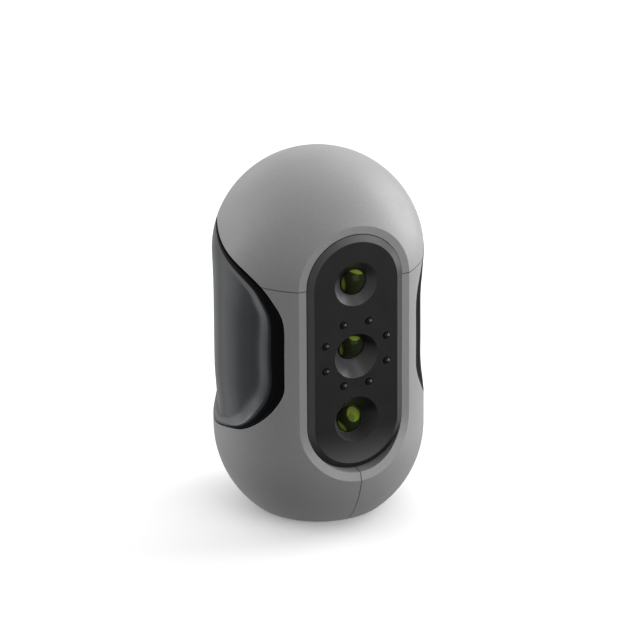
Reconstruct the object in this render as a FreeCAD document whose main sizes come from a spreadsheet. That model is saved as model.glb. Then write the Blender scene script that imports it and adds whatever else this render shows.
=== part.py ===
import FreeCAD, Part
import Sketcher
import math
import os
from FreeCAD import Vector, Rotation, Placement

# Handheld 3-D scanner, millimetres.  +Z is up, -Y is the front (the optical
# window), and the origin is the mouth of the tripod thread, in the plane of
# the foot ring that the scanner stands on.  The casing is a capsule of
# revolution about Z: two hemispheres joined by a cylinder, cut flat below.

doc = FreeCAD.newDocument("handheld_scanner")
dims = doc.addObject("Spreadsheet::Sheet", "dims")

CELLS = [
    # casing
    ("case_r", 35.0), ("low_z", 26.8), ("high_z", 88.2), ("base_z", 0.4),
    ("wall", 3.2), ("floor_top", 4.0), ("front_wall", 2.4),
    ("seam", 0.14), ("cap_seam_z", 88.2),
    # flat round the window and its ramp
    ("ring_f", 28.93), ("ramp_z", 33.27), ("ramp_deg", 20.8), ("ramp_round", 31.8),
    ("ramp_run", 53.27), ("ramp_run_in", 52.83), ("ramp_z_in", 32.83),
    ("opening_r", 17.0), ("win_hi", 88.2), ("win_lo", 39.1),
    # window plate
    ("plate_r", 16.85), ("face_f", 30.4), ("face_r", 14.75), ("band_f", 29.2),
    ("band_deg", 60.26), ("plate_back", 27.4), ("plate_in_r", 15.2),
    ("flange_r", 17.8), ("flange_back", 24.6), ("flange_front", 26.0),
    ("glass_r", 4.5), ("throat_r", 4.75),
    ("up_f", 27.8), ("up_z", 88.2), ("mid_f", 26.2), ("mid_z", 64.3),
    ("low_f", 24.4), ("low_cam_z", 37.65), ("mid_tilt", 9.5), ("low_tilt", 13.6),
    ("led_z", 63.6), ("led_circle", 11.73), ("led_r", 1.15), ("led_hole_r", 1.32),
    # grips
    ("pocket_r", 32.5), ("grip_in_r", 32.55), ("grip_gap", 0.13),
    ("scoop_r", 36.1), ("scoop_x", 2.54), ("scoop_y", 1.78), ("scoop_hi", 92.6),
    # camera and projector modules, along the optical axis from the front glass
    ("barrel_r", 6.0), ("barrel_bore", 3.4), ("cam_len", 13.0), ("pro_len", 10.0),
    ("holder_w", 14.0), ("holder_front", 6.0), ("holder_back", 14.5),
    ("cam_board", 18.0), ("board_t", 1.2), ("sensor_w", 7.0),
    ("house_w", 18.0), ("house_front", 8.0), ("house_back", 30.0),
    # chassis
    ("frame_x", 20.0), ("frame_front", 15.0), ("frame_back", 7.0),
    ("frame_lo", 22.0), ("frame_hi", 104.0),
    # electronics
    ("main_y", 18.0), ("main_t", 1.6), ("main_x", 22.0), ("main_lo", 34.0), ("main_hi", 97.0),
    # controls on the back
    ("panel_r", 9.3), ("panel_hole_r", 9.45), ("panel_lo", 52.0), ("panel_hi", 76.5),
    ("panel_y", 33.5), ("panel_under", 31.2), ("panel_flange_r", 11.2),
    ("scan_z", 76.5), ("plus_z", 61.5), ("minus_z", 51.5),
    ("scan_r", 6.0), ("key_r", 3.6), ("key_gap", 0.2),
    # base
    ("foot_in", 15.0), ("foot_out", 20.0), ("foot_top", 1.55), ("thread_r", 2.55),
    ("thread_len", 8.0), ("insert_r", 5.9),
]
for row, (alias, number) in enumerate(CELLS, start=1):
    dims.set("A%d" % row, alias)
    dims.set("B%d" % row, repr(number))
    dims.setAlias("B%d" % row, alias)
doc.recompute()
TABLE = dict(CELLS)


def is_number(word):
    return word[0].isdigit() or word[0] == "."


def val(e):
    """Value of a sum of sheet words and numbers, such as "case_r - wall"."""
    if isinstance(e, (int, float)):
        return float(e)
    total, sign = 0.0, 1.0
    for word in e.split():
        if word == "+":
            sign = 1.0
        elif word == "-":
            sign = -1.0
        else:
            f = 1.0
            for w in word.split("*"):
                f *= float(w) if is_number(w) else TABLE[w]
            total += sign * f
            sign = 1.0
    return total


def ex(e):
    """The same sum as an expression on the sheet."""
    if isinstance(e, (int, float)):
        return repr(float(e))
    out = []
    for word in e.split():
        if word in ("+", "-"):
            out.append(word)
        else:
            out.append("*".join(w if is_number(w) else "dims." + w for w in word.split("*")))
    return " ".join(out)


def bind(obj, **props):
    for name, e in props.items():
        setattr(obj, name, val(e))
        obj.setExpression(name, ex(e))


def place(obj, at=(0, 0, 0), rot=None):
    obj.Placement = Placement(Vector(*[val(a) for a in at]), rot or Rotation())
    for axis, e in zip("xyz", at):
        if isinstance(e, str):
            obj.setExpression("Placement.Base." + axis, ex(e))
    return obj


def cyl(name, r, length, at=(0, 0, 0), rot=None):
    o = doc.addObject("Part::Cylinder", name)
    bind(o, Radius=r, Height=length)
    return place(o, at, rot)


def box(name, size, at, rot=None):
    """Box whose low corner is at `at`."""
    o = doc.addObject("Part::Box", name)
    bind(o, Length=size[0], Width=size[1], Height=size[2])
    return place(o, at, rot)


def sphere(name, r, at, rot=None):
    o = doc.addObject("Part::Sphere", name)
    bind(o, Radius=r)
    return place(o, at, rot)


def cone(name, r1, r2, length, at, rot=None):
    o = doc.addObject("Part::Cone", name)
    bind(o, Radius1=r1, Radius2=r2, Height=length)
    return place(o, at, rot)


def cut(name, base, tool):
    o = doc.addObject("Part::Cut", name)
    o.Base, o.Tool = base, tool
    return o


def common(name, base, tool):
    o = doc.addObject("Part::Common", name)
    o.Base, o.Tool = base, tool
    return o


def fuse(name, parts):
    if len(parts) == 1:
        return parts[0]
    o = doc.addObject("Part::MultiFuse", name)
    o.Shapes = parts
    return o


def group(name, parts):
    o = doc.addObject("Part::Compound", name)
    o.Links = parts
    return o


def plane(body, role):
    for f in body.Origin.OriginFeatures:
        if f.Role == role:
            return f
    raise ValueError(role)


def sketch(body, name, role):
    sk = body.newObject("Sketcher::SketchObject", name)
    sk.AttachmentSupport = [(plane(body, role), "")]
    sk.MapMode = "FlatFace"
    return sk


def polygon(sk, pts):
    xy = [(val(a), val(b)) for a, b in pts]
    n = len(pts)
    for i in range(n):
        p, q = xy[i], xy[(i + 1) % n]
        sk.addGeometry(Part.LineSegment(Vector(p[0], p[1], 0), Vector(q[0], q[1], 0)), False)
    for i in range(n):
        sk.addConstraint(Sketcher.Constraint("Coincident", i, 2, (i + 1) % n, 1))
    for i in range(n):
        for kind, k in (("DistanceX", 0), ("DistanceY", 1)):
            c = sk.addConstraint(Sketcher.Constraint(kind, -1, 1, i, 1, xy[i][k]))
            if isinstance(pts[i][k], str):
                sk.setExpression("Constraints[%d]" % c, ex(pts[i][k]))


def circles(sk, items):
    for x, y, r in items:
        g = sk.addGeometry(Part.Circle(Vector(val(x), val(y), 0), Vector(0, 0, 1), val(r)), False)
        c = sk.addConstraint(Sketcher.Constraint("Radius", g, val(r)))
        if isinstance(r, str):
            sk.setExpression("Constraints[%d]" % c, ex(r))
        for kind, e in (("DistanceX", x), ("DistanceY", y)):
            c = sk.addConstraint(Sketcher.Constraint(kind, -1, 1, g, 3, val(e)))
            if isinstance(e, str):
                sk.setExpression("Constraints[%d]" % c, ex(e))


def turned(name, pts, at=(0, 0, 0), rot=None):
    """Solid turned about its own Z axis from a closed (radius, z) profile."""
    body = doc.addObject("PartDesign::Body", name)
    sk = sketch(body, name + "_profile", "XZ_Plane")
    polygon(sk, pts)
    rev = body.newObject("PartDesign::Revolution", name + "_turn")
    rev.Profile = sk
    rev.ReferenceAxis = (sk, ["V_Axis"])
    rev.Angle = 360.0
    body.Tip = rev
    return place(body, at, rot)


def slab(name, pts, length, role="XY_Plane", at=(0, 0, 0), rot=None, holes=(), mid=False,
         corner=None):
    """Plate: closed outline padded by `length`, with round holes pocketed through."""
    body = doc.addObject("PartDesign::Body", name)
    sk = sketch(body, name + "_outline", role)
    polygon(sk, pts)
    pad = body.newObject("PartDesign::Pad", name + "_pad")
    pad.Profile = sk
    pad.Length = val(length)
    pad.setExpression("Length", ex(length))
    if mid:
        pad.Midplane = True
    body.Tip = pad
    if corner:
        doc.recompute()
        edges = []
        for i, e in enumerate(pad.Shape.Edges, start=1):
            a, b = e.Vertexes[0].Point, e.Vertexes[-1].Point
            d = b.sub(a)
            if abs(d.z) > 1e-6 and abs(d.x) < 1e-6 and abs(d.y) < 1e-6:
                edges.append("Edge%d" % i)
        fil = body.newObject("PartDesign::Fillet", name + "_corners")
        fil.Base = (pad, edges)
        fil.Radius = corner
        body.Tip = fil
    if holes:
        sk2 = sketch(body, name + "_hole_plan", role)
        circles(sk2, holes)
        pocket = body.newObject("PartDesign::Pocket", name + "_holes")
        pocket.Profile = sk2
        pocket.Type = "ThroughAll"
        pocket.Midplane = True
        body.Tip = pocket
    return place(body, at, rot)


def rect(x, y):
    """Centred rectangle, x and y being its sides."""
    return [("- 0.5*" + x, "- 0.5*" + y), ("0.5*" + x, "- 0.5*" + y),
            ("0.5*" + x, "0.5*" + y), ("- 0.5*" + x, "0.5*" + y)]


def stadium(name, r, lo, hi, start, length, taper=None):
    """Upright slot shape on the XZ plane, from y = start towards the front."""
    body = doc.addObject("PartDesign::Body", name)
    sk = sketch(body, name + "_slot", "XZ_Plane")
    rr, zl, zh = val(r), val(lo), val(hi)
    g = [
        Part.ArcOfCircle(Part.Circle(Vector(0, zh, 0), Vector(0, 0, 1), rr), 0, math.pi),
        Part.LineSegment(Vector(-rr, zh, 0), Vector(-rr, zl, 0)),
        Part.ArcOfCircle(Part.Circle(Vector(0, zl, 0), Vector(0, 0, 1), rr), math.pi, 2 * math.pi),
        Part.LineSegment(Vector(rr, zl, 0), Vector(rr, zh, 0)),
    ]
    for item in g:
        sk.addGeometry(item, False)
    sk.addConstraint(Sketcher.Constraint("Tangent", 0, 2, 1, 1))
    sk.addConstraint(Sketcher.Constraint("Tangent", 1, 2, 2, 1))
    sk.addConstraint(Sketcher.Constraint("Tangent", 2, 2, 3, 1))
    sk.addConstraint(Sketcher.Constraint("Tangent", 3, 2, 0, 1))
    sk.addConstraint(Sketcher.Constraint("PointOnObject", 0, 3, -2))
    sk.addConstraint(Sketcher.Constraint("PointOnObject", 2, 3, -2))
    for kind, geo, e in (("Radius", 0, r), ("zh", 0, hi), ("zl", 2, lo)):
        if kind == "Radius":
            c = sk.addConstraint(Sketcher.Constraint("Radius", geo, val(e)))
        else:
            c = sk.addConstraint(Sketcher.Constraint("DistanceY", -1, 1, geo, 3, val(e)))
        if isinstance(e, str):
            sk.setExpression("Constraints[%d]" % c, ex(e))
    pad = body.newObject("PartDesign::Pad", name + "_pad")
    pad.Profile = sk
    pad.Length = val(length)
    pad.setExpression("Length", ex(length))
    if taper is not None:
        pad.TaperAngle = val(taper)
        pad.setExpression("TaperAngle", ex(taper))
    body.Tip = pad
    return place(body, (0, start, 0))


TO_FRONT = Rotation(Vector(1, 0, 0), 90)      # own Z to -Y
TO_BACK = Rotation(Vector(1, 0, 0), -90)      # own Z to +Y
TO_RIGHT = Rotation(Vector(0, 1, 0), 90)      # own Z to +X
TO_LEFT = Rotation(Vector(0, 1, 0), -90)      # own Z to -X


SEAM_BACK = Rotation(Vector(0, 0, 1), 90)     # closing line of a round face to the back


def capsule(name, r, lo="low_z", hi="high_z", at=(0, 0)):
    a = cyl(name + "_side", r, hi + " - " + lo, (at[0], at[1], lo), SEAM_BACK)
    b = sphere(name + "_foot", r, (at[0], at[1], lo), SEAM_BACK)
    c = sphere(name + "_crown", r, (at[0], at[1], hi), SEAM_BACK)
    return fuse(name, [a, b, c])


def behind(name, f, corner, run, radius):
    """Everything behind the flat round the window and the ramp below it."""
    body = doc.addObject("PartDesign::Body", name)
    sk = sketch(body, name + "_side", "YZ_Plane")
    tan = math.tan(math.radians(TABLE["ramp_deg"]))
    pts = [("- " + f.replace(" + ", " # ").replace(" - ", " + ").replace(" # ", " - "), 160.0),
           ("- " + f.replace(" + ", " # ").replace(" - ", " + ").replace(" # ", " - "), corner),
           (-(val(f) + val(run) * tan), val(corner) - val(run)),
           (60.0, val(corner) - val(run)), (60.0, 160.0)]
    polygon(sk, pts)
    pad = body.newObject("PartDesign::Pad", name + "_pad")
    pad.Profile = sk
    pad.Length = 100.0
    pad.Midplane = True
    body.Tip = pad
    doc.recompute()
    edges = []
    for i, e in enumerate(pad.Shape.Edges, start=1):
        c = e.CenterOfMass
        if abs(c.y + val(f)) < 1e-4 and abs(c.z - val(corner)) < 1e-4:
            edges.append("Edge%d" % i)
    fil = body.newObject("PartDesign::Fillet", name + "_bend")
    fil.Base = (pad, edges)
    fil.Radius = val(radius)
    fil.setExpression("Radius", ex(radius))
    body.Tip = fil
    return body


# ------------------------------------------------------------------ grips
GRIP = [(25.7, 54.0), (25.7, 60.8), (25.7, 67.5), (25.7, 74.3), (25.1, 78.8), (22.7, 84.0),
        (20.1, 87.7), (14.6, 91.6), (6.9, 94.5), (-2.2, 97.6), (-8.0, 99.5), (-14.0, 100.2),
        (-19.6, 98.6), (-23.6, 94.0), (-25.4, 87.0), (-25.7, 78.0), (-25.7, 65.0),
        (-25.7, 52.0), (-25.4, 42.0), (-23.6, 35.2), (-19.4, 31.2), (-12.5, 29.8),
        (-4.6, 30.6), (4.6, 33.0), (11.4, 34.9), (16.6, 38.0), (21.0, 42.4), (24.5, 48.5)]
SCOOP = [(21.3, 54.0), (21.3, 61.0), (21.3, 68.0), (21.1, 74.5), (20.2, 79.2), (17.8, 83.4),
         (14.2, 86.9), (8.5, 90.4), (1.5, 93.2), (-6.0, 95.6), (-13.0, 96.6), (-18.4, 95.0),
         (-21.8, 90.8), (-23.2, 84.0), (-23.4, 76.0), (-23.4, 65.0), (-23.4, 52.0),
         (-23.2, 43.2), (-21.6, 37.8), (-17.8, 34.6), (-11.5, 33.3), (-4.2, 34.0),
         (3.8, 35.8), (10.4, 37.6), (14.9, 40.5), (18.6, 44.4), (20.8, 49.0)]


def side_prism(name, points, gap, x0, x1):
    """Prism along X over an outline in (forward, up), grown by `gap`."""
    curve = Part.BSplineCurve()
    curve.interpolate([Vector(0, -f, z) for f, z in points], PeriodicFlag=True)
    if gap:
        grown = []
        a, b = curve.FirstParameter, curve.LastParameter
        n = 56
        for i in range(n):
            u = a + (b - a) * i / n
            p = curve.value(u)
            t = curve.tangent(u)
            t = t[0] if isinstance(t, (tuple, list)) else t
            normal = Vector(0, t.z, -t.y)
            normal.normalize()
            centre = Vector(0, 0, 65)
            if normal.dot(p.sub(centre)) < 0:
                normal = normal.multiply(-1)
            grown.append(p.add(normal.multiply(gap)))
        curve = Part.BSplineCurve()
        curve.interpolate(grown, PeriodicFlag=True)
    a, b, n = curve.FirstParameter, curve.LastParameter, 14
    spans = [curve.toShape(a + (b - a) * i / n, a + (b - a) * (i + 1) / n) for i in range(n)]
    face = Part.Face(Part.Wire(spans))
    solid = face.extrude(Vector(x1 - x0, 0, 0))
    o = doc.addObject("Part::Feature", name)
    o.Shape = solid
    o.Placement = Placement(Vector(x0, 0, 0), Rotation())
    return o


NODES = {}


def node(name, obj):
    obj.Label = name
    NODES[name] = obj
    return obj


# ------------------------------------------------------------------ casing
outer = capsule("outer", "case_r")
inner = capsule("inner", "case_r - wall")
form_out = behind("form_out", "ring_f", "ramp_z", "ramp_run", "ramp_round")
form_in = behind("form_in", "ring_f - front_wall", "ramp_z_in", "ramp_run_in",
                 "ramp_round + front_wall")
below = box("below", (100.0, 100.0, 50.0), (-50.0, -50.0, "base_z - 50.0"))
shape_out = cut("shape_out", common("shape_front", outer, form_out), below)
floor_box = box("floor_box", (100.0, 100.0, 150.0), (-50.0, -50.0, "floor_top"))
cavity = common("cavity", common("cavity_front", inner, form_in), floor_box)
hollow = cut("hollow", shape_out, cavity)

# bosses that take the side screws, under the grips
bosses = []
for side, rot in ((-1, TO_LEFT), (1, TO_RIGHT)):
    for z in (44.0, 70.0):
        bosses.append(cyl("boss", 3.6, 11.2, (side * 20.05, -11.0, z), rot))
# collar that closes the wall round the window, deepest at the foot of the ring
collar = common("window_collar", stadium("collar_block", "plate_r + 1.55", "win_lo", "win_hi",
                                         -26.55, 9.45), shape_out)
bossed = fuse("bossed", [hollow, collar] + bosses)

openings = []
openings.append(stadium("window_hole", "opening_r", "win_lo", "win_hi", -20.0, 25.0))
openings.append(stadium("panel_hole", "panel_hole_r", "panel_lo", "panel_hi", 45.0, 18.0))
for side, rot, x0, x1 in ((-1, TO_LEFT, -45.0, -10.0), (1, TO_RIGHT, 10.0, 45.0)):
    prism = side_prism("grip_seat_prism", GRIP, TABLE["grip_gap"], x0, x1)
    core = capsule("grip_seat_core", "pocket_r")
    openings.append(cut("grip_seat", prism, core))
    for z in (44.0, 70.0):
        openings.append(cyl("side_screw_hole", 1.5, 30.0, (side * 12.0, -11.0, z), rot))
        openings.append(cyl("side_screw_head_hole", 2.7, 12.9, (side * 28.4, -11.0, z), rot))
# connector slot and the shallow recess round it
slot_parts = [box("slot_mid", (5.68, 12.0, 3.7), (-2.84, 28.0, 23.65))]
recess_parts = [box("recess_mid", (7.0, 6.0, 6.6), (-3.5, 34.0, 22.2))]
for x in (-2.84, 2.84):
    slot_parts.append(cyl("slot_end", 1.85, 12.0, (x, 28.0, 25.5), TO_BACK))
for x in (-3.5, 3.5):
    recess_parts.append(cyl("recess_end", 3.3, 6.0, (x, 34.0, 25.5), TO_BACK))
openings.append(fuse("connector_slot", slot_parts))
openings.append(fuse("connector_recess", recess_parts))
# underside: foot groove, tripod hole, screw holes
openings.append(turned("foot_groove", [("foot_in - 0.1", -1.0), ("foot_out + 0.1", -1.0),
                                       ("foot_out + 0.1", "foot_top + 0.05"),
                                       ("foot_in - 0.1", "foot_top + 0.05")]))
openings.append(cyl("tripod_hole", "insert_r + 0.15", 8.0, (0, 0, -1.0)))
BASE_SCREWS = [(17.5 * math.cos(math.radians(a)), 17.5 * math.sin(math.radians(a)))
               for a in (45, 135, 225, 315)]
for x, y in BASE_SCREWS:
    openings.append(cyl("base_screw_hole", 1.45, 6.0, (x, y, 0.0)))
    openings.append(cyl("base_screw_head_hole", 2.6, 2.85, (x, y, 0.0)))
case = cut("case", bossed, fuse("openings", openings))

cap_box = box("cap_box", (100.0, 100.0, 60.0), (-50.0, -50.0, "cap_seam_z + 0.5*seam"))
cap_dome = common("cap_dome", case, cap_box)
spigot_low = turned("spigot_low", [(29.9, 84.3), (31.68, 84.3), (31.68, 89.5), (29.9, 89.5)])
spigot_high = turned("spigot_high", [(29.9, 88.6), (32.3, 88.6), (31.9, 92.0), (29.9, 92.0)])
spigot_box = box("spigot_box", (80.0, 40.0, 20.0), (-40.0, -20.0, 80.0))
spigot = common("spigot", fuse("spigot_ring", [spigot_low, spigot_high]), spigot_box)
node("top_cap", fuse("top_cap_solid", [cap_dome, spigot]))

left_box = box("left_box", ("60.0 - 0.5*seam", 100.0, 110.0),
               (-60.0, -50.0, "cap_seam_z - 0.5*seam - 110.0"))
right_box = box("right_box", (60.0, 100.0, 110.0),
                ("0.5*seam", -50.0, "cap_seam_z - 0.5*seam - 110.0"))
node("left_shell", common("left_shell_solid", case, left_box))
node("right_shell", common("right_shell_solid", case, right_box))

blank = common("grip_blank", side_prism("grip_prism", GRIP, 0.0, -45.0, -10.0),
               capsule("grip_skin", "case_r"))
thin = cut("grip_thin", blank, capsule("grip_back", "grip_in_r"))
scoop = cut("grip_scoop", side_prism("grip_scoop_prism", SCOOP, 0.0, -45.0, -10.0),
            capsule("grip_hollow", "scoop_r", "low_z", "scoop_hi", ("scoop_x", "scoop_y")))
node("left_grip", cut("left_grip_solid", thin, scoop))
mirrored = doc.addObject("Part::Mirroring", "right_grip_solid")
mirrored.Source = NODES["left_grip"]
mirrored.Normal = Vector(1, 0, 0)
node("right_grip", mirrored)

# ------------------------------------------------------------------ window
def axis_place(f, z, tilt_deg, back=0.0):
    """Placement of a part whose own Z is the optical axis, origin at the glass."""
    t = math.radians(tilt_deg)
    return ((0.0, -(f - back * math.cos(t)), z - back * math.sin(t)),
            Rotation(Vector(1, 0, 0), 90 - tilt_deg))


MODULES = {
    "upper": (TABLE["up_f"], TABLE["up_z"], 0.0),
    "middle": (TABLE["mid_f"], TABLE["mid_z"], -TABLE["mid_tilt"]),
    "lower": (TABLE["low_f"], TABLE["low_cam_z"], TABLE["low_tilt"]),
}
RIMS = {"upper": (2.6, 4.0), "middle": (4.2, 7.0), "lower": (6.0, 9.0)}

plate = stadium("plate_slot", "plate_r", "win_lo", "win_hi", "- flange_back",
                "band_f - flange_back")
pad = stadium("plate_pad", "plate_r", "win_lo", "win_hi", "- band_f + 0.02",
              "face_f - band_f + 0.02", "- band_deg")
flange = stadium("plate_flange", "flange_r", "win_lo", "win_hi", "- flange_back",
                 "flange_front - flange_back")
inside = stadium("plate_inside", "plate_in_r", "win_lo", "win_hi", -20.0,
                 "plate_back - 20.0")
window = cut("window_1", fuse("window_solid", [plate, flange]), inside)
adds, drops = [window, pad], []
for key, (f, z, tilt) in MODULES.items():
    depth, reach = RIMS[key]
    slope = (7.6 - TABLE["throat_r"]) / depth
    at, rot = axis_place(f, z, tilt)
    drops.append(cone(key + "_funnel", "throat_r", TABLE["throat_r"] + slope * reach, reach,
                      at, rot))
    at_b, _ = axis_place(f, z, tilt, 12.0)
    drops.append(cyl(key + "_seat", "barrel_r + 0.25", 12.0, at_b, rot))
    if key != "upper":
        wall_cone = cone(key + "_collar_cone", "throat_r + 1.2",
                         TABLE["throat_r"] + 1.2 + slope * reach, reach, at, rot)
        keep = box(key + "_collar_box", (40.0, 29.0, 40.0), (-20.0, -29.0, z - 20.0))
        adds.append(common(key + "_collar", wall_cone, keep))
POSTS = [(-13.2, 79.5), (13.2, 79.5), (-13.2, 51.0), (13.2, 51.0)]
for x, z in POSTS:
    adds.append(cyl("window_post", 1.7, 12.55, (x, -15.05, z), TO_FRONT))
    drops.append(cyl("window_post_bore", 0.85, 9.0, (x, -14.0, z), TO_FRONT))
for x in (-12.2, 12.2):
    adds.append(cyl("led_board_rest", 1.0, 2.0, (x, -25.65, "led_z"), TO_FRONT))
LEDS = [(TABLE["led_circle"] * math.cos(math.radians(22.5 + 45 * k)),
         TABLE["led_z"] + TABLE["led_circle"] * math.sin(math.radians(22.5 + 45 * k)))
        for k in range(8)]
for x, z in LEDS:
    drops.append(cyl("led_hole", "led_hole_r", 8.0, (x, -26.0, z), TO_FRONT))
node("window_plate", cut("window_2", fuse("window_with_posts", adds),
                         fuse("window_drops", drops)))

gasket = cut("gasket_solid",
             stadium("gasket_out", 17.5, "win_lo", "win_hi", -26.04, 0.4),
             stadium("gasket_in", 16.93, "win_lo", "win_hi", -25.0, 3.0))
node("window_gasket", gasket)

leds = []
for x, z in LEDS:
    stem = cyl("led_stem", "led_r", "face_f - 25.65 - 0.1", (x, -25.65, z), TO_FRONT)
    dome = sphere("led_dome", "led_r", (x, "- face_f + 0.1", z))
    leds.append(fuse("led", [stem, dome]))
node("marker_leds", group("marker_led_group", leds))
node("led_ring_board", turned("led_ring_board", [(8.3, 0.0), (14.2, 0.0), (14.2, "board_t"),
                                                 (8.3, "board_t")],
                              (0, -24.4, "led_z"), TO_FRONT))

# ------------------------------------------------------------------ cameras, projector
def glass(name, key):
    f, z, tilt = MODULES[key]
    at, rot = axis_place(f, z, tilt, 2.95)
    disc = cyl(name + "_disc", "glass_r", 4.0, at, rot)
    c, _ = axis_place(f, z, tilt, 12.6)
    ball = sphere(name + "_curve", 13.0, c)
    return node(name, common(name + "_solid", disc, ball))


def barrel(name, key, length):
    f, z, tilt = MODULES[key]
    at, rot = axis_place(f, z, tilt)
    return node(name, turned(name, [
        (4.6, -0.1), (5.7, -0.1), ("barrel_r", -0.4), ("barrel_r", "- " + length),
        ("barrel_bore", "- " + length), ("barrel_bore", -3.0), (4.6, -3.0)], at, rot))


frame_cuts = []
for key, prefix in (("upper", "upper_camera"), ("lower", "lower_camera")):
    f, z, tilt = MODULES[key]
    at, rot = axis_place(f, z, tilt)
    glass(prefix + "_lens", key)
    barrel(prefix + "_barrel", key, "cam_len")
    # own XY plane square to the optical axis
    at, rot = axis_place(f, z, tilt, TABLE["holder_back"])
    block = slab(prefix + "_holder_block", rect("holder_w", "holder_w"),
                 "holder_back - holder_front", "XY_Plane", at, rot, corner=1.0)
    at2, _ = axis_place(f, z, tilt, 13.05)
    bore = cyl(prefix + "_holder_bore", "barrel_r + 0.05", 9.0, at2, rot)
    c = Vector(*at)
    corner = c.add(rot.multVec(Vector(-4.5, -4.5, -1.0)))
    pocket = box(prefix + "_sensor_room", (9.0, 9.0, 2.6), tuple(corner), rot)
    node(prefix + "_holder", cut(prefix + "_holder_solid", block,
                                 fuse(prefix + "_holder_room", [bore, pocket])))
    at3, _ = axis_place(f, z, tilt, 15.8)
    node(prefix + "_board", slab(prefix + "_board", rect("cam_board", "cam_board"), "board_t",
                                 "XY_Plane", at3, rot,
                                 holes=[(7.9, 7.9, 0.95), (-7.9, -7.9, 0.95)]))
    at4, _ = axis_place(f, z, tilt, 14.57)
    node(prefix + "_sensor", slab(prefix + "_sensor", rect("sensor_w", "sensor_w"), 1.1,
                                  "XY_Plane", at4, rot))
    # room for the module in the chassis
    for w, d0, d1 in ((7.15, 17.0, -2.0), (9.15, 30.0, 14.55)):
        low = Vector(*axis_place(f, z, tilt, d0)[0]).add(rot.multVec(Vector(-w, -w, 0)))
        frame_cuts.append(box(prefix + "_room", (2 * w, 2 * w, d0 - d1), tuple(low), rot))

f, z, tilt = MODULES["middle"]
glass("projector_lens", "middle")
barrel("projector_barrel", "middle", "pro_len")
at, rot = axis_place(f, z, tilt, TABLE["house_back"])
block = slab("projector_block", rect("house_w", "house_w"), "house_back - house_front",
             "XY_Plane", at, rot, corner=1.0)
at_f, _ = axis_place(f, z, tilt, 16.65)
ears = slab("projector_ears", [(-12.0, -10.5), (12.0, -10.5), (12.0, 10.5), (-12.0, 10.5)],
            2.0, "XY_Plane", at_f, rot,
            holes=[(10.6, 7.0, 0.95), (-10.6, 7.0, 0.95), (10.6, -7.0, 0.95),
                   (-10.6, -7.0, 0.95)], corner=1.0)
at_b, _ = axis_place(f, z, tilt, 11.0)
bore = cyl("projector_bore", "barrel_r + 0.05", 8.0, at_b, rot)
low = Vector(*axis_place(f, z, tilt, 31.0)[0]).add(rot.multVec(Vector(-6.5, -6.5, 0)))
room = box("projector_room", (13.0, 13.0, 20.9), tuple(low), rot)
node("projector_housing", cut("projector_housing_solid",
                              fuse("projector_body", [block, ears]),
                              fuse("projector_inside", [bore, room])))
at_s, _ = axis_place(f, z, tilt, 14.0)
node("pattern_slide", slab("pattern_slide", [(-6.45, -6.45), (6.45, -6.45), (6.45, 6.45),
                                             (-6.45, 6.45)], 1.0, "XY_Plane", at_s, rot))
at_l, _ = axis_place(f, z, tilt, 31.25)
led_board = slab("projector_led_board", [(-8.0, -8.0), (8.0, -8.0), (8.0, 8.0), (-8.0, 8.0)],
                 "board_t", "XY_Plane", at_l, rot)
low = Vector(*axis_place(f, z, tilt, 30.1)[0]).add(rot.multVec(Vector(-2.0, -2.0, 0)))
chip = box("projector_led_chip", (4.0, 4.0, 0.9), tuple(low), rot)
node("projector_led", fuse("projector_led_solid", [led_board, chip]))
fins = []
low = Vector(*axis_place(f, z, tilt, 32.9)[0]).add(rot.multVec(Vector(-9.0, -9.0, 0)))
fins.append(box("heatsink_base", (18.0, 18.0, 1.6), tuple(low), rot))
for i in range(6):
    low = Vector(*axis_place(f, z, tilt, 37.6)[0]).add(
        rot.multVec(Vector(-9.0 + i * 3.36, -9.0, 0)))
    fins.append(box("heatsink_fin", (1.2, 18.0, 4.8), tuple(low), rot))
node("projector_heatsink", fuse("projector_heatsink_solid", fins))
low = Vector(*axis_place(f, z, tilt, 25.0)[0]).add(rot.multVec(Vector(-9.15, -9.15, 0)))
frame_cuts.append(box("projector_window", (18.3, 18.3, 30.0), tuple(low), rot))
low = Vector(*axis_place(f, z, tilt, 30.0)[0]).add(rot.multVec(Vector(-12.2, -10.7, 0)))
frame_cuts.append(box("projector_rebate", (24.4, 21.4, 15.4), tuple(low), rot))


def screw(name, head_r, head_t, shank_r, length, at, rot):
    """Socket-head screw; own Z points along the shank, z = 0 under the head."""
    shank = cyl(name + "_shank", shank_r, length + 0.2,
                tuple(Vector(*at).add(rot.multVec(Vector(0, 0, -0.2)))), rot)
    base = Vector(*at).add(rot.multVec(Vector(0, 0, -head_t)))
    head = cyl(name + "_head", head_r, head_t, tuple(base), rot)
    hexa = doc.addObject("Part::Prism", name + "_socket")
    hexa.Polygon = 6
    hexa.Circumradius = head_r * 0.5
    hexa.Height = head_t * 0.6 + 0.1
    hexa.Placement = Placement(base.add(rot.multVec(Vector(0, 0, -0.1))), rot)
    return cut(name + "_solid", fuse(name + "_blank", [head, shank]), hexa)


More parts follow.
